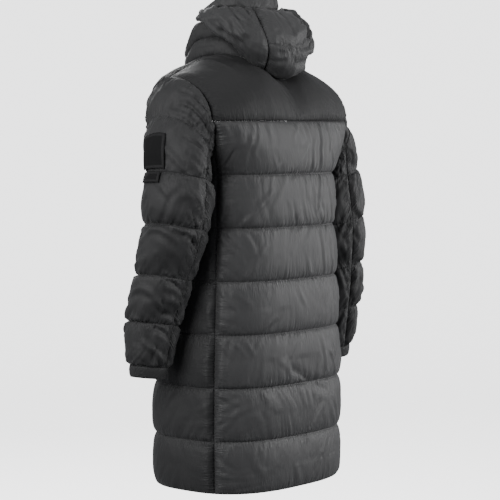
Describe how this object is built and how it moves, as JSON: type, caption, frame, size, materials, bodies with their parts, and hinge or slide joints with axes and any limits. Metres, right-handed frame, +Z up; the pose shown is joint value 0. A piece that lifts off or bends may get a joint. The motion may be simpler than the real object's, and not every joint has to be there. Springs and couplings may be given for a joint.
{
  "type": "long puffer coat",
  "caption": "Long hooded puffer coat in its worn shape, with a plain yoke, quilted body and sleeves, a raised hood and a front zip.",
  "frame": {"origin": "on the garment's middle plane between the shoulders, level with the neck seam, where the wearer's shoulders hold it", "axes": "+Z up from hem to neck, the front with its zip faces -Y, the wearer's left is +X"},
  "size_m": [0.7062, 0.3513, 1.1607],
  "materials": {
    "shell": "matt black woven nylon",
    "back_shell": "charcoal woven nylon with a soft sheen",
    "cuff_band": "gathered black binding",
    "badge": "matt black woven badge",
    "zip_tape": "black moulded zip",
    "zip_metal": "black enamelled metal"
  },
  "bodies": {
    "coat": {"back_panel": "back_shell", "front_panel_left": "shell", "front_panel_right": "shell", "yoke_back": "shell", "yoke_front_left": "shell", "yoke_front_right": "shell", "sleeve_top_left": "shell", "sleeve_under_left": "shell", "cuff_left": "cuff_band", "sleeve_top_right": "shell", "sleeve_under_right": "shell", "cuff_right": "cuff_band", "collar": "shell", "hood_side_left": "shell", "hood_side_right": "shell", "hood_centre": "shell", "hood_rim": "shell", "badge_large": "badge", "badge_small": "badge", "zip_chain": "zip_tape", "zip_slider": "zip_metal"},
    "pull": {"zip_pull": "zip_metal"}
  },
  "joints": [
    {"name": "pull_swing", "type": "hinge", "parent": "coat", "child": "pull", "pos_m": [0, -0.16448, 0.029], "axis": [1, 0, 0], "range_deg": [-120, 0]}
  ]
}
